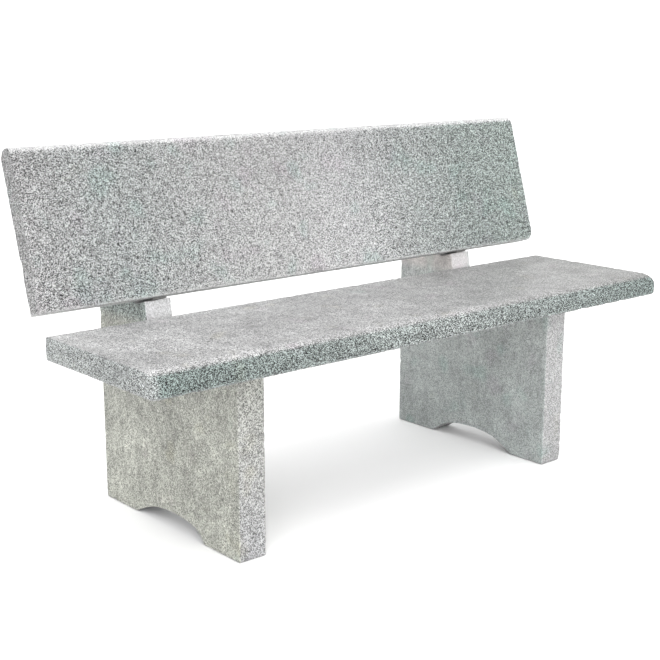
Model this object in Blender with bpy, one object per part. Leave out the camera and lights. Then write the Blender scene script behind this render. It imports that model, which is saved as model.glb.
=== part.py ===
"""A granite bench with a backrest: four stones, bedded in mortar and held by steel pins.

Two side slabs carry everything. The front part of each is the leg under the seat, and the rear part
rises behind the seat as the upright that the backrest leans on. Metres, +Z up, +X along the bench,
-Y towards the sitter's feet. The origin is on the ground, below the middle of the object's box.
"""

from math import cos, pi, radians, sin, tan

import bmesh
import bpy
from mathutils import Matrix, Vector

# Whole bench
OVERALL_DEPTH = 0.600
FRONT = -OVERALL_DEPTH / 2
JOINT_GAP = 0.0003

# Seat slab
SEAT_LENGTH = 1.500
SEAT_DEPTH = 0.394
SEAT_THICKNESS = 0.050
SEAT_TOP = 0.456
NOSE_REACH = 0.045
NOSE_DROP = 0.026
NOSE_STEPS = 14
SEAT_ARRIS = 0.003

# Back slab, measured along and square to its lean
BACK_LENGTH = 1.500
BACK_HEIGHT = 0.345
BACK_THICKNESS = 0.050
BACK_LEAN = radians(16.5)
BACK_FRONT = 0.4025
BACK_BOTTOM = 0.4990
BACK_CROWN_STEPS = 20
BACK_WORN_CORNER = 0.028
BACK_WORN_STEPS = 8
BACK_ARRIS = 0.002

# Side slabs
SIDE_THICKNESS = 0.068
SIDE_INSET = 0.248
SIDE_SETBACK = 0.083
SIDE_ARRIS = 0.002
UPRIGHT_FRONT = 0.406
UPRIGHT_LEAN = radians(9.7)
UPRIGHT_TOP = 0.750
ARCH_STEPS = 12

# The arch in each side slab's lower edge: points (behind the seat's front edge, above the ground) of a
# front and a back Bezier curve that meet at the crown. The two are cut by hand and differ a little.
ARCHES = {
    "left": {
        "front": ((0.212, 0.0), (0.224, 0.026), (0.252, 0.0375), (0.325, 0.0375)),
        "back": ((0.325, 0.0375), (0.400, 0.0375), (0.430, 0.0210), (0.474, 0.0)),
    },
    "right": {
        "front": ((0.176, 0.0), (0.210, 0.001), (0.222, 0.0405), (0.325, 0.0410)),
        "back": ((0.325, 0.0410), (0.400, 0.0415), (0.425, 0.0320), (0.465, 0.0)),
    },
}

# Mortar beds
BED_JOINT = 0.003
BED_MARGIN = 0.006
LEDGE_JOINT = 0.004
LEDGE_BED_OPEN_SIDE = 0.026
LEDGE_BED_SETBACK = 0.004
BACK_BED_HEIGHT = 0.200
BED_CORNER = 0.004

# Dowel pins
DOWEL_RADIUS = 0.006
DOWEL_POCKET_RADIUS = 0.007
DOWEL_POCKET_END = 0.002
DOWEL_CHAMFER = 0.001
DOWEL_SIDES = 24
SEAT_DOWEL_IN_SEAT = 0.030
SEAT_DOWEL_IN_LEG = 0.050
SEAT_DOWEL_PLACES = {"front": 0.150, "rear": 0.330}
BACK_DOWEL_IN_SLAB = 0.030
BACK_DOWEL_IN_UPRIGHT = 0.045
BACK_DOWEL_PLACES = {"lower": 0.070, "upper": 0.160}

SIDES = {"left": -1, "right": 1}


def clear_scene():
    for obj in list(bpy.data.objects):
        bpy.data.objects.remove(obj)


def stone(name, colour, roughness):
    """Granite or mortar: an opaque material with no metal in it."""
    material = bpy.data.materials.new(name)
    material.use_nodes = True
    shader = material.node_tree.nodes["Principled BSDF"]
    shader.inputs["Base Color"].default_value = (*colour, 1.0)
    shader.inputs["Roughness"].default_value = roughness
    shader.inputs["Metallic"].default_value = 0.0
    return material


def steel(name):
    material = stone(name, (0.56, 0.57, 0.58), 0.35)
    material.node_tree.nodes["Principled BSDF"].inputs["Metallic"].default_value = 1.0
    return material


def add_object(name, bm, material=None):
    """A scene object from a bmesh whose faces are turned to point out."""
    bmesh.ops.recalc_face_normals(bm, faces=bm.faces)
    mesh = bpy.data.meshes.new(name)
    bm.to_mesh(mesh)
    bm.free()
    obj = bpy.data.objects.new(name, mesh)
    bpy.context.scene.collection.objects.link(obj)
    if material:
        mesh.materials.append(material)
    return obj


def prism(outline, x_low, x_high):
    """A closed bmesh: an outline of (y, z) points, carried along X."""
    bm = bmesh.new()
    verts = [bm.verts.new((x_low, y, z)) for y, z in outline]
    face = bm.faces.new(verts)
    grown = bmesh.ops.extrude_face_region(bm, geom=[face])["geom"]
    moved = [item for item in grown if isinstance(item, bmesh.types.BMVert)]
    bmesh.ops.translate(bm, verts=moved, vec=(x_high - x_low, 0.0, 0.0))
    return bm


def block(low, high, corner, upright_axis):
    """A closed bmesh: a box whose four edges along one axis are rounded."""
    bm = bmesh.new()
    size = [b - a for a, b in zip(low, high)]
    middle = [(a + b) / 2 for a, b in zip(low, high)]
    bmesh.ops.create_cube(bm, size=1.0, matrix=Matrix.Translation(middle) @ Matrix.Diagonal((*size, 1.0)))
    along = [e for e in bm.edges if abs((e.verts[0].co - e.verts[1].co)[upright_axis]) > 1e-6]
    bmesh.ops.bevel(bm, geom=along, offset=corner, offset_type="OFFSET", segments=3, profile=0.5, affect="EDGES")
    return bm


def ease_arrises(obj, width):
    """A flat 45 degree arris on every sharp edge."""
    bevel = obj.modifiers.new("arris", "BEVEL")
    bevel.width = width
    bevel.segments = 1
    bevel.limit_method = "ANGLE"
    bevel.angle_limit = radians(32)


def drill(obj, cutters):
    """Cuts the dowel pockets out of a stone or a bed."""
    for cutter in cutters:
        cut = obj.modifiers.new("pocket", "BOOLEAN")
        cut.operation = "DIFFERENCE"
        cut.solver = "EXACT"
        cut.object = cutter


def bezier(points, steps):
    """Points of one cubic Bezier curve, its start left out."""
    a, b, c, d = (Vector(p) for p in points)
    curve = []
    for i in range(1, steps + 1):
        t = i / steps
        u = 1 - t
        curve.append(a * u**3 + b * 3 * u * u * t + c * 3 * u * t * t + d * t**3)
    return [tuple(p) for p in curve]


def back_frame():
    """The back slab's own frame: origin on its lower front edge, Y into the stone, Z up along its lean."""
    return Matrix.Translation((0.0, FRONT + BACK_FRONT, BACK_BOTTOM)) @ Matrix.Rotation(-BACK_LEAN, 4, "X")


def back_point(into, up):
    """The (y, z) of a point that lies so far into and up the back slab."""
    point = back_frame() @ Vector((0.0, into, up))
    return point.y, point.z


def side_span(side):
    """The lowest and highest X of a side slab."""
    outer = SEAT_LENGTH / 2 - SIDE_INSET
    faces = (SIDES[side] * outer, SIDES[side] * (outer - SIDE_THICKNESS))
    return min(faces), max(faces)


def upright_front_at(z):
    """The Y of the upright's front face at a height."""
    return FRONT + UPRIGHT_FRONT + (z - SEAT_TOP) * tan(UPRIGHT_LEAN)


def leg_top():
    return SEAT_TOP - SEAT_THICKNESS - BED_JOINT


def ledge_front():
    """How far into the back slab's frame the upright's front face meets the ledge."""
    y, z = back_point(0.0, -LEDGE_JOINT)
    slope = tan(UPRIGHT_LEAN)
    return (upright_front_at(z) - y) / (cos(BACK_LEAN) + sin(BACK_LEAN) * slope)


def lean_face():
    """How far into the back slab's frame the upright's leaning face lies."""
    return BACK_THICKNESS + BED_JOINT


def build_seat(material, cutters):
    low, high = FRONT, FRONT + SEAT_DEPTH
    bottom = SEAT_TOP - SEAT_THICKNESS
    nose = []
    for i in range(NOSE_STEPS + 1):
        turn = pi / 2 * i / NOSE_STEPS
        y = low + NOSE_REACH * (1 - sin(turn))
        z = SEAT_TOP - NOSE_DROP * (1 - cos(turn))
        nose.append((y, z))
    outline = [(low, bottom), (high, bottom), (high, SEAT_TOP), *nose]
    seat = add_object("seat_slab", prism(outline, -SEAT_LENGTH / 2, SEAT_LENGTH / 2), material)
    ease_arrises(seat, SEAT_ARRIS)
    drill(seat, cutters)
    return seat


def build_back(material, cutters):
    """The outline runs up the front face, over the half-round crown and down the rear face."""
    radius = BACK_THICKNESS / 2
    outline = [(0.0, 0.0)]
    for i in range(BACK_CROWN_STEPS + 1):
        turn = pi * i / BACK_CROWN_STEPS
        outline.append((radius * (1 - cos(turn)), BACK_HEIGHT - radius * (1 - sin(turn))))
    outline.append((BACK_THICKNESS, 0.0))
    bm = prism(outline, -BACK_LENGTH / 2, BACK_LENGTH / 2)
    worn = [e for e in bm.edges if all(v.co.x > 0 and v.co.z < JOINT_GAP for v in e.verts)]
    bmesh.ops.bevel(
        bm, geom=worn, offset=BACK_WORN_CORNER, offset_type="OFFSET",
        segments=BACK_WORN_STEPS, profile=0.5, affect="EDGES",
    )
    back = add_object("back_slab", bm, material)
    back.matrix_world = back_frame()
    ease_arrises(back, BACK_ARRIS)
    drill(back, cutters)
    return back


def build_side(side, material, cutters):
    """The outline starts at the front foot and runs along the ground, up the rear and down to the seat."""
    arch = ARCHES[side]
    foot_front = FRONT + SIDE_SETBACK
    rear = FRONT + OVERALL_DEPTH
    arch_start = arch["front"][0]
    curve = [arch_start, *bezier(arch["front"], ARCH_STEPS), *bezier(arch["back"], ARCH_STEPS)]
    top_up = (UPRIGHT_TOP - back_point(lean_face(), 0.0)[1]) / cos(BACK_LEAN)
    outline = [
        (foot_front, 0.0),
        *[(FRONT + y, z) for y, z in curve],
        (rear, 0.0),
        (rear, UPRIGHT_TOP),
        back_point(lean_face(), top_up),
        back_point(lean_face(), -LEDGE_JOINT),
        back_point(ledge_front(), -LEDGE_JOINT),
        (upright_front_at(leg_top()), leg_top()),
        (foot_front, leg_top()),
    ]
    slab = add_object(f"side_slab_{side}", prism(outline, *side_span(side)), material)
    ease_arrises(slab, SIDE_ARRIS)
    drill(slab, cutters)
    return slab


def build_seat_bed(side, material, cutters):
    x_low, x_high = side_span(side)
    low = (x_low + BED_MARGIN, FRONT + SIDE_SETBACK + BED_MARGIN, leg_top() + JOINT_GAP)
    high = (
        x_high - BED_MARGIN,
        upright_front_at(leg_top()) - BED_MARGIN,
        SEAT_TOP - SEAT_THICKNESS - JOINT_GAP,
    )
    bed = add_object(f"seat_bed_{side}", block(low, high, BED_CORNER, 2), material)
    drill(bed, cutters)
    return bed


def build_back_bed(side, material, cutters):
    """The bed between the backrest's rear face and the upright's leaning face."""
    x_low, x_high = side_span(side)
    low = (x_low + BED_MARGIN, BACK_THICKNESS + JOINT_GAP, BED_MARGIN)
    high = (x_high - BED_MARGIN, lean_face() - JOINT_GAP, BED_MARGIN + BACK_BED_HEIGHT)
    bed = add_object(f"back_bed_{side}", block(low, high, BED_CORNER, 1), material)
    bed.matrix_world = back_frame()
    drill(bed, cutters)
    return bed


def build_ledge_bed(side, material):
    """The bed under the backrest. It stops short of the ledge's left side, which leaves an open joint."""
    x_low, x_high = side_span(side)
    low = (x_low + LEDGE_BED_OPEN_SIDE, ledge_front() + LEDGE_BED_SETBACK, -LEDGE_JOINT + JOINT_GAP)
    high = (x_high - BED_MARGIN, BACK_THICKNESS - BED_MARGIN, -JOINT_GAP)
    bed = add_object(f"ledge_bed_{side}", block(low, high, BED_CORNER, 2), material)
    bed.matrix_world = back_frame()
    return bed


def pin(radius, low, high, chamfer):
    """A closed bmesh: a round bar along Z from low to high, with chamfered ends."""
    bm = bmesh.new()
    middle = Matrix.Translation((0.0, 0.0, (low + high) / 2))
    bmesh.ops.create_cone(
        bm, cap_ends=True, segments=DOWEL_SIDES, radius1=radius, radius2=radius, depth=high - low, matrix=middle
    )
    if chamfer:
        rims = [e for e in bm.edges if abs(e.verts[0].co.z - e.verts[1].co.z) < JOINT_GAP]
        bmesh.ops.bevel(bm, geom=rims, offset=chamfer, offset_type="OFFSET", segments=1, affect="EDGES")
    return bm


def build_dowel(name, place, low, high, material):
    """A pin along its own Z, and the cutter of its pocket, which is a little wider and longer."""
    dowel = add_object(name, pin(DOWEL_RADIUS, low, high, DOWEL_CHAMFER), material)
    dowel.matrix_world = place
    dowel.data.shade_smooth()
    dowel.data.set_sharp_from_angle(angle=radians(32))
    pocket = pin(DOWEL_POCKET_RADIUS, low - DOWEL_POCKET_END, high + DOWEL_POCKET_END, 0.0)
    cutter = add_object(f"{name}_pocket", pocket)
    cutter.matrix_world = place
    cutter.hide_render = True
    cutter.display_type = "WIRE"
    return cutter


def build_seat_dowels(side, material):
    """Upright pins between leg and seat. Their own Z is zero at the seat's underside."""
    x = sum(side_span(side)) / 2
    cutters = []
    for name, y in SEAT_DOWEL_PLACES.items():
        place = Matrix.Translation((x, FRONT + y, SEAT_TOP - SEAT_THICKNESS))
        cutters.append(
            build_dowel(f"seat_dowel_{side}_{name}", place, -SEAT_DOWEL_IN_LEG, SEAT_DOWEL_IN_SEAT, material)
        )
    return cutters


def build_back_dowels(side, material):
    """Pins square to the backrest. Their own Z is zero at the backrest's rear face and points forward."""
    x = sum(side_span(side)) / 2
    cutters = []
    for name, up in BACK_DOWEL_PLACES.items():
        place = back_frame() @ Matrix.Translation((x, BACK_THICKNESS, up)) @ Matrix.Rotation(pi / 2, 4, "X")
        cutters.append(
            build_dowel(f"back_dowel_{side}_{name}", place, -BACK_DOWEL_IN_UPRIGHT, BACK_DOWEL_IN_SLAB, material)
        )
    return cutters


def smooth(obj):
    obj.data.shade_smooth()
    obj.data.set_sharp_from_angle(angle=radians(20))


def build_bench():
    clear_scene()
    granite = {
        "seat_slab": stone("granite_seat", (0.50, 0.50, 0.49), 0.38),
        "back_slab": stone("granite_back", (0.45, 0.46, 0.45), 0.55),
        "side_slab_left": stone("granite_side_left", (0.43, 0.43, 0.40), 0.60),
        "side_slab_right": stone("granite_side_right", (0.42, 0.44, 0.43), 0.60),
    }
    mortar = stone("bed_mortar", (0.30, 0.30, 0.29), 0.85)
    pin_steel = steel("pin_steel")
    all_seat_cutters = []
    all_back_cutters = []
    for side in SIDES:
        seat_cutters = build_seat_dowels(side, pin_steel)
        back_cutters = build_back_dowels(side, pin_steel)
        smooth(build_side(side, granite[f"side_slab_{side}"], seat_cutters + back_cutters))
        build_seat_bed(side, mortar, seat_cutters)
        build_back_bed(side, mortar, back_cutters)
        build_ledge_bed(side, mortar)
        all_seat_cutters += seat_cutters
        all_back_cutters += back_cutters
    smooth(build_seat(granite["seat_slab"], all_seat_cutters))
    smooth(build_back(granite["back_slab"], all_back_cutters))


build_bench()
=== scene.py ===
"""Looks of a granite bench with a backrest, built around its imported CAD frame.

Each of the four stones gets a dressed mesh of its own, made from the CAD stone: eased and chipped
arrises, sawn faces with a slight wave, and pointed faces with a grain that stands proud. The mortar
beds and steel pins keep their CAD shape. Metres, +Z up, +X along the bench, -Y to the sitter's feet.
"""

from math import radians

import bmesh
import bpy
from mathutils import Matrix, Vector, kdtree, noise


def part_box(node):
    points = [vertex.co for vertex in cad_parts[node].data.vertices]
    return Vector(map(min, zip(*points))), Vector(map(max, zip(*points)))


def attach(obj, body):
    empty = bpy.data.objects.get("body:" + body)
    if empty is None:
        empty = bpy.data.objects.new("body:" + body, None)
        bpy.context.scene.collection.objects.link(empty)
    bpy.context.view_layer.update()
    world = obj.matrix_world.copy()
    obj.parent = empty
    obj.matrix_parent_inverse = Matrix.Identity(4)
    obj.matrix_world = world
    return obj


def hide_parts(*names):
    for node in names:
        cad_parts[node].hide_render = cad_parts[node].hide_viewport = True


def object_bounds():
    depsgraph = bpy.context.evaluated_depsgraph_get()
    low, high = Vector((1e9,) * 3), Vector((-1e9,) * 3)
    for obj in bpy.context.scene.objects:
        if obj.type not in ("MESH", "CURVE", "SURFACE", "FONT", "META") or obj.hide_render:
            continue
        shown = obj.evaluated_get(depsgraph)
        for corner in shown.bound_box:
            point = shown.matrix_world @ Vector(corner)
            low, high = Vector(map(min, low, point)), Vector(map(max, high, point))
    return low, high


def plain(box):
    return [[float(n) for n in corner] for corner in box]


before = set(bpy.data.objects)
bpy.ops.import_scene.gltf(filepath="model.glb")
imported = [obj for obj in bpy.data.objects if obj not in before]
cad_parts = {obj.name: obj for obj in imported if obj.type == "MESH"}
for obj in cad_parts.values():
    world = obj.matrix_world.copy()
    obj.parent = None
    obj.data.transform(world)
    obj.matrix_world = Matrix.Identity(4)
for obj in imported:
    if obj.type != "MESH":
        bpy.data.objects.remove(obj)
CAD_BOX = plain(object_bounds())

# Camera, as a person stands before the left end of the bench
CAMERA_PLACE = (-1.9311, -2.1627, 1.0454)
CAMERA_TURN = radians(-40.62)
CAMERA_TILT = radians(90 - 13.06)
CAMERA_LENS = 69.44

# Studio. The room is brighter to the camera than as a light on the stones.
FLOOR_RADIUS = 40.0
FLOOR_DROP = 0.0005
FLOOR_WHITE = 0.90
ROOM_SEEN = 1.25
ROOM_FILL = 0.85

# Stone dressing
WELD = 0.00001
FLAT_ANGLE = radians(0.5)
ARRIS_ANGLE = radians(30)
SHORTEST_ARRIS = 0.0025
ARRIS_ROUND = 0.0009
ARRIS_SAMPLE = 0.002
GRID = 0.005
WAVE_LENGTH = 0.11
POINT_LENGTH = 0.0055

# Chips are bitten out where slow noise along an arris is above a limit, and small ones where noise three
# times as fine is
CHIP_LENGTH = 0.020
CHIP_REACH = 0.006
CHIP_LIMIT = 0.25
SMALL_CHIP_LIMIT = 0.2
SMALL_CHIP_DEPTH = 0.6

# How pale wear makes an arris, and how low on a stone the painted highlight along its lower arrises, for
# light thrown up by the floor, starts and is whole
WEAR = 0.10
HEM_HIGHLIGHT = (0.88, 0.97)

# The heights over the seat's top at which the corner between the seat and the backrest fades in and out.
# There the uprights take painted shade on the left one's large faces, and a paler colour on their fronts and
# on the right one's large faces
CROOK_START = (-0.03, 0.005)
CROOK_END = (0.05, 0.10)

# The share of a normal along a direction at which a face starts to look that way, and at which it does
FACING = (0.4, 0.8)

# How far from the seat's left end the paler, smoother margin of its nose starts to fade, and where it is
# gone
PALE_NOSE_MARGIN = (0.008, 0.022)

AXES = {"x": Vector((1, 0, 0)), "y": Vector((0, 1, 0)), "z": Vector((0, 0, 1))}


def smoothstep(low, high, value):
    t = min(max((value - low) / (high - low), 0.0), 1.0)
    return t * t * (3 - 2 * t)


# ---------------------------------------------------------------- stones


def welded_copy(node):
    """A bmesh of a CAD stone with its seams welded and each flat face in one polygon."""
    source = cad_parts[node].data
    bm = bmesh.new()
    verts = [bm.verts.new(v.co) for v in source.vertices]
    for polygon in source.polygons:
        bm.faces.new([verts[i] for i in polygon.vertices])
    bmesh.ops.remove_doubles(bm, verts=bm.verts, dist=WELD)
    bmesh.ops.dissolve_limit(bm, angle_limit=FLAT_ANGLE, verts=bm.verts, edges=bm.edges)
    return bm


def arrises(bm):
    """The sharp edges along the stone's outside; the short ones round the pin pockets are left out."""
    return [
        e for e in bm.edges
        if e.calc_length() > SHORTEST_ARRIS and e.calc_face_angle(0.0) > ARRIS_ANGLE
    ]


def arris_tree(edges):
    """Points along the given edges, to be searched by distance."""
    points = []
    for edge in edges:
        start, end = (v.co.copy() for v in edge.verts)
        count = max(1, int((end - start).length / ARRIS_SAMPLE))
        points += [start.lerp(end, i / count) for i in range(count)]
    tree = kdtree.KDTree(len(points))
    for i, point in enumerate(points):
        tree.insert(point, i)
    tree.balance()
    return tree


def slice_along(bm, direction, step):
    """Cuts the faces with evenly spaced planes square to a direction."""
    reach = [v.co.dot(direction) for v in bm.verts]
    low, high = min(reach), max(reach)
    count = int((high - low) / step)
    spacing = (high - low) / (count + 1)
    ahead = bm.verts[:] + bm.edges[:] + bm.faces[:]
    for i in range(1, count + 1):
        place = low + spacing * i
        cut = bmesh.ops.bisect_plane(
            bm, geom=ahead, dist=WELD, plane_co=direction * place, plane_no=direction
        )
        ahead = [item for item in cut["geom"] if furthest(item, direction) > place + WELD]


def furthest(item, direction):
    """How far along a direction a point, an edge or a face reaches."""
    if isinstance(item, bmesh.types.BMVert):
        return item.co.dot(direction)
    return max(v.co.dot(direction) for v in item.verts)


def refine(bm, wanted):
    """Halves the grid where wanted(face) is true."""
    edges = {e for f in bm.faces if wanted(f) for e in f.edges}
    bmesh.ops.subdivide_edges(bm, edges=list(edges), cuts=1, use_grid_fill=True)


def dress(bm, tree, finish_of, wave, points, chips, hem, seed, reach=None):
    """Moves each point into the stone by the wave of the saw, the marks of the point and chipped arrises.

    finish_of(normal, place) is 1 on sawn or honed faces and 0 on pointed ones. It is kept on the mesh for
    the materials, and so are how pale the stone is near an arris, from wear and from a painted highlight of
    light thrown up by the floor, added along the lower arrises as much as given; how low each point is, from
    0 at the top of the reach to 1 at the foot, which the materials use to paint light and shade from head to
    foot; and how far it is in the corner between the seat and the backrest, where the materials paint shade
    on some faces and a paler colour on others. The reach is the stone's whole height if none is given."""
    bm.normal_update()
    finish, arris, low, crook_shade_and_tone = (
        bm.verts.layers.float.new(name) for name in ("finish", "arris", "low", "crook_shade_and_tone")
    )
    seat_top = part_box("seat_slab")[1].z
    foot = min(v.co.z for v in bm.verts)
    height = reach or max(v.co.z for v in bm.verts) - foot
    shift = Vector((seed * 3.1, seed * 1.7, seed * 2.3))
    moves = []
    for v in bm.verts:
        smooth = finish_of(v.normal, v.co)
        nearest, _, distance = tree.find(v.co)
        close = 1 - smoothstep(0.0, CHIP_REACH, distance)
        swell = wave * (1 + noise.noise(v.co / WAVE_LENGTH + shift)) / 2
        mark = (1 - smooth) * points * (1 + noise.noise(v.co / POINT_LENGTH + shift)) / 2
        loss = max(0.0, noise.noise(nearest / CHIP_LENGTH + shift) - CHIP_LIMIT)
        small_loss = max(0.0, noise.noise(nearest * 3 / CHIP_LENGTH + shift) - SMALL_CHIP_LIMIT)
        chip = chips * close * (loss + SMALL_CHIP_DEPTH * small_loss)
        v[finish] = smooth
        v[low] = 1 - min(1.0, (v.co.z - foot) / height)
        # Paler near an arris: wear, and along the lower arrises a painted highlight for light thrown up by
        # the floor
        v[arris] = close * (WEAR + hem * smoothstep(*HEM_HIGHLIGHT, v[low]))
        # The corner between the seat and the backrest, away from the rear faces: painted shade on the left
        # upright's large faces, a paler colour elsewhere
        above_seat = smoothstep(*CROOK_START, v.co.z - seat_top)
        under_back = 1 - smoothstep(*CROOK_END, v.co.z - seat_top)
        rear = smoothstep(0.3, 0.6, v.normal.y)
        v[crook_shade_and_tone] = above_seat * under_back * (1 - rear)
        moves.append(v.normal * (swell + mark + chip))
    for v, move in zip(bm.verts, moves):
        v.co -= move


def stone(name, node, slot, material, directions, finish_of, finer=None, **dressing):
    """A dressed stone that stands for a CAD node."""
    bm = welded_copy(node)
    sharp = arrises(bm)
    tree = arris_tree(sharp)
    bmesh.ops.bevel(
        bm, geom=sharp, offset=ARRIS_ROUND, offset_type="OFFSET", segments=2, profile=0.5, affect="EDGES"
    )
    for direction in directions:
        slice_along(bm, direction, GRID)
    if finer:
        refine(bm, finer)
    dress(bm, tree, finish_of, **dressing)
    mesh = bpy.data.meshes.new(name)
    bm.to_mesh(mesh)
    bm.free()
    mesh.shade_smooth()
    mesh.materials.append(material)
    piece = bpy.data.objects.new(name, mesh)
    bpy.context.scene.collection.objects.link(piece)
    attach(piece, "root")
    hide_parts(node)


def lean_of(node):
    """The direction up along a leaning slab: square to X and to its largest face."""
    largest = max(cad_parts[node].data.polygons, key=lambda p: p.area)
    up = AXES["x"].cross(largest.normal)
    return up if up.z > 0 else -up


def build_seat(material):
    left_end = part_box("seat_slab")[0].x

    def honed(normal, place):
        """The top is honed and the rear is sawn. The ends, and a margin of the nose beside the left one,
        take part of the honed look, paler and smoother than the rest of the nose."""
        top = smoothstep(0.83, 0.95, abs(normal.z))
        rear = 0.8 * smoothstep(*FACING, normal.y)
        end = 0.5 * smoothstep(*FACING, abs(normal.x))
        margin = 0.4 * (1 - smoothstep(*PALE_NOSE_MARGIN, place.x - left_end))
        return max(top, rear, end, margin)

    def nose(face):
        """Whether a face is on the rounded front edge."""
        return face.normal.y < -0.3

    stone(
        "seat_stone", "seat_slab", "granite_seat", material, AXES.values(), honed, finer=nose,
        wave=0.0003, points=0.0007, chips=0.004, hem=0.4, seed=1,
    )


def build_back(material):
    def sawn(normal, place):
        """The rear face is sawn and the crown rubbed. The underside takes the same smooth look, whose paler
        grey there is painted light thrown up by the floor; on the crown the paler grey is partly a painted
        highlight from above.
        """
        return max(smoothstep(0.5, 0.9, normal.y), smoothstep(0.55, 0.85, abs(normal.z)))

    up = lean_of("back_slab")
    stone(
        "back_stone", "back_slab", "granite_back", material, (AXES["x"], up, up.cross(AXES["x"])), sawn,
        wave=0.0004, points=0.0006, chips=0.005, hem=1.1, seed=2,
    )


def build_side(side, material, seed):
    def sawn(normal, place):
        """The two large faces are sawn."""
        return smoothstep(*FACING, abs(normal.x))

    stone(
        f"{side}_side_stone", f"side_slab_{side}", f"granite_side_{side}", material, AXES.values(), sawn,
        wave=0.0005, points=0.0004, chips=0.004, hem=0.0, seed=seed, reach=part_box("seat_slab")[0].z,
    )


# ---------------------------------------------------------------- materials


class Graph:
    """One material's shader nodes, linked as they are added."""

    def __init__(self, name):
        self.material = bpy.data.materials.new(name)
        self.material.use_nodes = True
        self.tree = self.material.node_tree
        self.shader = self.tree.nodes["Principled BSDF"]
        self.place = self.node("ShaderNodeTexCoord").outputs["Object"]

    def node(self, kind, inputs=None, **settings):
        made = self.tree.nodes.new(kind)
        for key, value in settings.items():
            setattr(made, key, value)
        for key, value in (inputs or {}).items():
            self.feed(made.inputs[key], value)
        return made

    def feed(self, socket, value):
        if isinstance(value, bpy.types.NodeSocket):
            self.tree.links.new(value, socket)
        else:
            socket.default_value = value

    def math(self, operation, a, b=0.0, clamp=False):
        return self.node("ShaderNodeMath", {0: a, 1: b}, operation=operation, use_clamp=clamp).outputs[0]

    def between(self, low, high, factor):
        """A number that goes from low to high with the factor."""
        return self.node("ShaderNodeMix", {"Factor": factor, "A": low, "B": high}).outputs["Result"]

    def mapped(self, vector, scale, offset):
        made = self.node(
            "ShaderNodeMapping", {"Vector": vector, "Location": (offset, offset, offset), "Scale": scale}
        )
        return made.outputs["Vector"]

    def noise(self, size, offset=0.0, detail=2.0, stretch=(1.0, 1.0, 1.0)):
        """Soft noise whose patches are about size across."""
        vector = self.mapped(self.place, [s / size for s in stretch], offset)
        made = self.node("ShaderNodeTexNoise", {"Vector": vector, "Scale": 1.0, "Detail": detail})
        return made.outputs["Fac"]

    def crystals(self, vector, size, offset, stretch):
        """A random number for each crystal."""
        vector = self.mapped(vector, [s / size for s in stretch], offset)
        made = self.node("ShaderNodeTexVoronoi", {"Vector": vector, "Scale": 1.0})
        return self.node("ShaderNodeSeparateColor", {"Color": made.outputs["Color"]}).outputs["Red"]

    def ramp(self, factor, stops):
        """Goes evenly from stop to stop. A stop is a position and a colour or a number."""
        made = self.node("ShaderNodeValToRGB", {"Fac": factor})
        elements = made.color_ramp.elements
        elements.remove(elements[1])
        for i, (position, value) in enumerate(stops):
            element = elements[0] if i == 0 else elements.new(position)
            element.position = position
            colour = value if isinstance(value, tuple) else (value, value, value)
            element.color = (*colour, 1.0)
        return made.outputs["Color"]

    def mix(self, factor, a, b, blend="MIX"):
        """Mixes or multiplies two colours. The Mix node's colours are its sockets 6, 7 and output 2."""
        made = self.node("ShaderNodeMix", data_type="RGBA", blend_type=blend)
        for socket, value in zip((made.inputs[0], made.inputs[6], made.inputs[7]), (factor, a, b)):
            self.feed(socket, (*value, 1.0) if isinstance(value, tuple) else value)
        return made.outputs[2]

    def tinted(self, colour, tint):
        """A colour times another colour or a number."""
        return self.mix(1.0, colour, tint, "MULTIPLY")

    def centred(self, value):
        """Noise from 0 to 1, moved to lie round 0."""
        return self.math("SUBTRACT", value, 0.5)

    def along_bench(self, colours):
        """A colour or number that goes evenly through the given ones from the bench's left end to its
        right."""
        low, high = CAD_BOX
        across = self.node("ShaderNodeSeparateXYZ", {"Vector": self.place}).outputs["X"]
        share = self.node("ShaderNodeMapRange", {"Value": across, "From Min": low[0], "From Max": high[0]})
        stops = [(i / max(1, len(colours) - 1), colour) for i, colour in enumerate(colours)]
        return self.ramp(share.outputs["Result"], stops)

    def attribute(self, name):
        return self.node("ShaderNodeAttribute", attribute_name=name).outputs["Fac"]

    def emboss(self, height, distance=1.0, strength=1.0):
        """Bumps the shading of the surface by height times distance."""
        bump = self.node("ShaderNodeBump", {"Strength": strength, "Distance": distance, "Height": height})
        self.feed(self.shader.inputs["Normal"], bump.outputs["Normal"])


# How bright each kind of crystal is, by its share of the stone: black mica, smoky quartz, white feldspar
MINERALS = ((0.0, 0.0), (0.24, 0.03), (0.34, 0.40), (0.62, 0.55), (0.76, 0.95), (1.0, 1.0))
MINERAL_MEAN = sum((b[0] - a[0]) * (a[1] + b[1]) / 2 for a, b in zip(MINERALS, MINERALS[1:]))
FINE_SHARE = 0.12

# How finely and how far the outlines of the crystals wander
WANDER_SCALE = 320.0
WANDER = 0.0016

# Cloudy patches in the colour, and patches of uneven roughness
CLOUD_SIZES = (0.012, 0.045, 0.16)
UNEVEN_SIZE = 0.05
UNEVEN = 0.25

# A tint shows where soft noise is above TINT_START and is whole above TINT_WHOLE; the limits sink by
# TINT_GAIN times its amount
TEAL = (0.91, 1.00, 0.975)
LILAC = (1.0, 0.96, 0.99)
STRAW = (1.0, 0.985, 0.91)
TINT_SIZE = 0.075
TINT_START, TINT_WHOLE = 0.72, 0.84
TINT_GAIN = 0.4

# Streaks down the stone, and paler arrises: wear, and a painted highlight along the lower ones
STREAK_SIZE = 0.016
STREAK_STRETCH = 0.10
WORN_AND_LIT = (0.50, 0.50, 0.495)
WORN_AND_LIT_SIZE = 0.012


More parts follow.
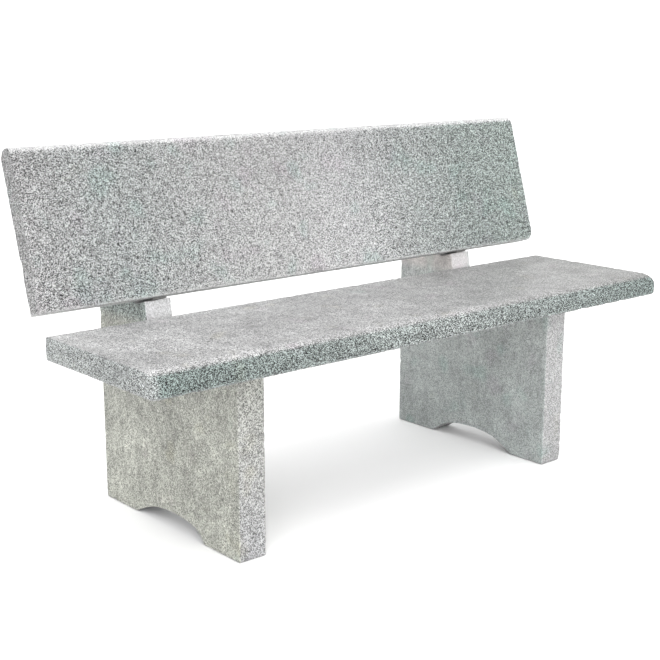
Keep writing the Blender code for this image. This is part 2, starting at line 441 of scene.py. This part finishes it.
def crystal_grain(g, grain, drawn, seed):
    """The coarse crystals, and how bright the stone is at each place, with a mean of 1."""
    wander = g.node("ShaderNodeTexNoise", {"Vector": g.place, "Scale": WANDER_SCALE, "Detail": 1.0})
    vectors = {"Factor": WANDER, 4: g.place, 5: wander.outputs["Color"]}
    bent = g.node("ShaderNodeMix", vectors, data_type="VECTOR").outputs[1]
    coarse = g.crystals(bent, grain, seed, drawn)
    fine = g.crystals(bent, grain / 2, seed + 5.0, drawn)
    brightness = g.between(g.ramp(coarse, MINERALS), g.ramp(fine, MINERALS), FINE_SHARE)
    return coarse, g.math("DIVIDE", brightness, MINERAL_MEAN)


def tone(g, look):
    """The colour of a look and the contrast of its crystals. From head to foot the colour paints light and
    shade, and in the corner between the seat and the backrest it is painted shade on some faces and paler on
    others.
    """
    colour = g.mix(g.attribute("low"), g.along_bench(look["head"]), g.along_bench(look["foot"]))
    contrast = g.along_bench(look["contrast"])
    # In the corner between the seat and the backrest: painted shade on the left upright's large faces, a
    # paler colour on the other faces of the uprights
    if "crook_shade_and_tone" in look:
        crook_shade_and_tone = g.attribute("crook_shade_and_tone")
        colour = g.mix(crook_shade_and_tone, colour, look["crook_shade_and_tone"])
        contrast = g.between(contrast, look["crook_contrast"], crook_shade_and_tone)
    return colour, contrast


def clouded(g, colour, depth, drawn, seed):
    """Lightens and darkens a colour in cloudy patches of several sizes."""
    for i, size in enumerate(CLOUD_SIZES):
        cloud = g.centred(g.noise(size, seed + 17.0 * i, detail=1.0, stretch=drawn))
        colour = g.tinted(colour, g.math("ADD", g.math("MULTIPLY", cloud, depth), 1.0))
    return colour


def patched(g, colour, tints, seed):
    """Tints a colour in patches."""
    for i, (tint, amount) in enumerate(zip((TEAL, LILAC, STRAW), tints)):
        stops = ((TINT_START - TINT_GAIN * amount, 0.0), (TINT_WHOLE - TINT_GAIN * amount, 1.0))
        patch = g.ramp(g.noise(TINT_SIZE, seed + 11.0 * i, detail=1.5), stops)
        colour = g.mix(patch, colour, g.tinted(colour, tint))
    return colour


def granite(name, grain, smooth, rough, tints, seed, stretch=1.0, streaks=0.0):
    """Grey granite with crystals about a grain across, drawn out along Z by stretch.

    smooth and rough are the looks of its sawn or honed and of its pointed faces: the colour at evenly spaced
    places along X at the head and at the foot, where the change from head to foot paints light and shade,
    the contrast of the crystals along X, what both are in the corner between the seat and the backrest,
    where the colour is painted shade on some faces and paler on others, the depth of the cloudy patches, the
    roughness and the relief. tints says how much of the stone is teal, lilac and straw coloured, and streaks
    how dark the streaks down its sawn faces are. What is added to seed keeps the noises apart."""
    g = Graph(name)
    finish = g.attribute("finish")
    drawn = (1.0, 1.0, 1.0 / stretch)

    def by_finish(key):
        return g.between(rough[key], smooth[key], finish)

    coarse, speckle = crystal_grain(g, grain, drawn, seed)
    rough_colour, rough_contrast = tone(g, rough)
    smooth_colour, smooth_contrast = tone(g, smooth)
    contrast = g.between(rough_contrast, smooth_contrast, finish)
    deviation = g.math("MULTIPLY", g.math("SUBTRACT", speckle, 1.0), contrast)
    speckle = g.math("MAXIMUM", g.math("ADD", deviation, 1.0), 0.0)
    colour = g.tinted(g.mix(finish, rough_colour, smooth_colour), speckle)
    colour = clouded(g, colour, by_finish("clouds"), drawn, seed)
    colour = patched(g, colour, tints, seed)
    if streaks:
        run = g.noise(STREAK_SIZE, seed, stretch=(1.0, 1.0, STREAK_STRETCH))
        run = g.ramp(run, ((0.35, 1.0 - streaks), (0.62, 1.0)))
        colour = g.mix(finish, colour, g.tinted(colour, run))
    # Paler near the arrises: wear, and along the lower arrises a painted highlight for light thrown up by
    # the floor
    worn_and_lit = g.math("MULTIPLY", g.attribute("arris"), g.noise(WORN_AND_LIT_SIZE, seed + 3.0))
    g.feed(g.shader.inputs["Base Color"], g.mix(worn_and_lit, colour, WORN_AND_LIT))

    uneven = g.math("MULTIPLY", g.centred(g.noise(UNEVEN_SIZE, seed + 8.0)), UNEVEN)
    g.feed(g.shader.inputs["Roughness"], g.math("ADD", by_finish("roughness"), uneven, clamp=True))
    g.shader.inputs["Specular IOR Level"].default_value = 0.45

    grains = g.math("ADD", g.math("MULTIPLY", coarse, 0.5), g.noise(grain, seed + 2.0, detail=3.0))
    g.emboss(g.math("MULTIPLY", grains, by_finish("relief")))
    return g.material


def build_granites():
    """The granite of each stone, in greys matched to the photo."""
    honed_grey = ((0.280, 0.280, 0.280), (0.245, 0.245, 0.245), (0.153, 0.154, 0.150))
    nose_grey = ((0.084, 0.104, 0.098), (0.136, 0.148, 0.144), (0.080, 0.097, 0.092))
    # The backrest's smooth grey; on its underside it is painted light, on its crown partly a painted
    # highlight
    rubbed_and_lit_grey = ((0.370, 0.370, 0.370),)
    # From head to foot the backrest gets lighter, most in its middle: a painted glow low on its face
    back_head = (
        (0.200, 0.200, 0.200), (0.198, 0.209, 0.206), (0.245, 0.248, 0.246), (0.258, 0.258, 0.257),
        (0.266, 0.267, 0.269), (0.184, 0.194, 0.191), (0.124, 0.141, 0.134), (0.115, 0.133, 0.125),
    )
    back_foot = (
        (0.240, 0.240, 0.240), (0.236, 0.248, 0.245), (0.302, 0.306, 0.304), (0.346, 0.346, 0.344),
        (0.379, 0.380, 0.382), (0.226, 0.239, 0.235), (0.135, 0.152, 0.146), (0.124, 0.143, 0.135),
    )
    return {
        "seat": granite(
            "honed_granite", grain=0.00155, tints=(0.0, 0.20, 0.20), seed=1.0,
            smooth=dict(
                head=honed_grey, foot=honed_grey, contrast=(0.92,),
                clouds=0.60, roughness=0.42, relief=0.00005,
            ),
            rough=dict(
                head=nose_grey, foot=nose_grey, contrast=(2.5, 2.7, 3.4),
                clouds=0.25, roughness=0.72, relief=0.0014,
            ),
        ),
        "back": granite(
            "pointed_granite", grain=0.00145, tints=(0.35, 0.35, 0.0), seed=2.0,
            smooth=dict(
                head=rubbed_and_lit_grey, foot=rubbed_and_lit_grey, contrast=(0.7,),
                clouds=0.15, roughness=0.62, relief=0.0003,
            ),
            rough=dict(
                head=back_head, foot=back_foot, contrast=(1.6, 1.45, 1.1, 0.98, 0.98, 1.9, 3.1, 3.5),
                clouds=0.12, roughness=0.75, relief=0.0014,
            ),
        ),
        "left": granite(
            "warm_sawn_granite", grain=0.0016, tints=(0.0, 0.15, 0.20), seed=3.0, stretch=1.4, streaks=0.08,
            smooth=dict(
                # Darker at the head: painted shade under the seat
                head=((0.256, 0.260, 0.233),), foot=((0.370, 0.376, 0.335),), contrast=(0.65,),
                # Painted shade in the corner under the backrest
                crook_shade_and_tone=(0.180, 0.205, 0.193), crook_contrast=1.3,
                clouds=0.75, roughness=0.66, relief=0.0003,
            ),
            rough=dict(
                head=((0.280, 0.283, 0.258),), foot=((0.270, 0.271, 0.276),), contrast=(0.75,),
                crook_shade_and_tone=(0.460, 0.460, 0.464), crook_contrast=0.28,
                clouds=0.25, roughness=0.72, relief=0.0006,
            ),
        ),
        "right": granite(
            "cool_sawn_granite", grain=0.0016, tints=(0.35, 0.35, 0.10), seed=4.0, stretch=1.2, streaks=0.05,
            smooth=dict(
                head=((0.345, 0.365, 0.356),), foot=((0.300, 0.323, 0.316),), contrast=(0.43,),
                crook_shade_and_tone=(0.465, 0.440, 0.425), crook_contrast=0.3,
                clouds=0.55, roughness=0.66, relief=0.0003,
            ),
            rough=dict(
                # Lighter at the head: painted light that lifts the shade under the seat
                head=((0.343, 0.343, 0.343),), foot=((0.260, 0.260, 0.260),), contrast=(0.55,),
                crook_shade_and_tone=(0.515, 0.500, 0.502), crook_contrast=0.20,
                clouds=0.20, roughness=0.72, relief=0.0006,
            ),
        ),
    }


def mortar():
    g = Graph("bed_mortar")
    sand = g.ramp(g.noise(0.0016, detail=3.0), ((0.3, (0.20, 0.20, 0.19)), (0.7, (0.38, 0.38, 0.365))))
    damp = g.ramp(g.noise(0.03, 4.0), ((0.35, 0.78), (0.65, 1.0)))
    g.feed(g.shader.inputs["Base Color"], g.tinted(sand, damp))
    g.feed(g.shader.inputs["Roughness"], g.ramp(g.noise(0.006), ((0.3, 0.82), (0.7, 0.95))))
    g.shader.inputs["Specular IOR Level"].default_value = 0.3
    g.emboss(g.noise(0.002, detail=3.0), distance=0.0006, strength=0.8)
    return g.material


def drawn_steel():
    g = Graph("drawn_steel")
    lines = g.noise(0.0012, stretch=(1.0, 1.0, 0.04))
    shades = ((0.3, (0.50, 0.51, 0.52)), (0.7, (0.62, 0.63, 0.64)))
    g.feed(g.shader.inputs["Base Color"], g.ramp(lines, shades))
    g.feed(g.shader.inputs["Roughness"], g.ramp(lines, ((0.3, 0.42), (0.7, 0.28))))
    g.shader.inputs["Metallic"].default_value = 1.0
    g.emboss(lines, distance=0.0001, strength=0.3)
    return g.material


def finish_cad_nodes():
    """The beds and pins keep their CAD meshes and take finished materials."""
    finishes = {"bed": mortar(), "dowel": drawn_steel()}
    for name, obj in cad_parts.items():
        for word, material in finishes.items():
            if f"_{word}_" in name:
                for slot in obj.material_slots:
                    slot.material = material


# ---------------------------------------------------------------- studio


def build_floor():
    bm = bmesh.new()
    bmesh.ops.create_circle(bm, cap_ends=True, radius=FLOOR_RADIUS, segments=96)
    mesh = bpy.data.meshes.new("floor")
    bm.to_mesh(mesh)
    bm.free()
    material = bpy.data.materials.new("white_floor")
    material.use_nodes = True
    shader = material.node_tree.nodes["Principled BSDF"]
    shader.inputs["Base Color"].default_value = (FLOOR_WHITE, FLOOR_WHITE, FLOOR_WHITE, 1.0)
    shader.inputs["Roughness"].default_value = 1.0
    shader.inputs["Specular IOR Level"].default_value = 0.0
    mesh.materials.append(material)
    floor = bpy.data.objects.new("floor", mesh)
    floor.location.z = -FLOOR_DROP
    bpy.context.scene.collection.objects.link(floor)


def build_room():
    """A white room. What it throws on the stones is dimmer than what is seen of it, so that the lights
    shape them."""
    world = bpy.data.worlds.new("room")
    bpy.context.scene.world = world
    world.use_nodes = True
    tree = world.node_tree
    ray = tree.nodes.new("ShaderNodeLightPath")
    strength = tree.nodes.new("ShaderNodeMapRange")
    strength.inputs["To Min"].default_value = ROOM_SEEN
    strength.inputs["To Max"].default_value = ROOM_FILL
    tree.links.new(ray.outputs["Is Diffuse Ray"], strength.inputs["Value"])
    background = tree.nodes["Background"]
    background.inputs["Color"].default_value = (1.0, 1.0, 1.0, 1.0)
    tree.links.new(strength.outputs["Result"], background.inputs["Strength"])


def sky_panel(name, azimuth, elevation, spread, strength):
    """A broad even light. Azimuth 0 comes from the bench's front, and 90 from its right end."""
    light = bpy.data.lights.new(name, "SUN")
    light.angle = radians(spread)
    light.energy = strength
    obj = bpy.data.objects.new(name, light)
    obj.rotation_euler = (radians(90 - elevation), 0.0, radians(azimuth))
    bpy.context.scene.collection.objects.link(obj)


def build_lights():
    sky_panel("overhead", azimuth=-20.0, elevation=72.0, spread=80.0, strength=3.18)
    sky_panel("front", azimuth=-28.0, elevation=20.0, spread=60.0, strength=1.66)


def build_camera():
    camera = bpy.data.cameras.new("camera")
    camera.lens = CAMERA_LENS
    obj = bpy.data.objects.new("camera", camera)
    obj.location = CAMERA_PLACE
    obj.rotation_euler = (CAMERA_TILT, 0.0, CAMERA_TURN)
    bpy.context.scene.collection.objects.link(obj)
    bpy.context.scene.camera = obj


granites = build_granites()
build_seat(granites["seat"])
build_back(granites["back"])
build_side("left", granites["left"], 3)
build_side("right", granites["right"], 4)
finish_cad_nodes()
build_floor()
build_room()
build_lights()
build_camera()
bpy.context.scene.view_settings.view_transform = "Standard"
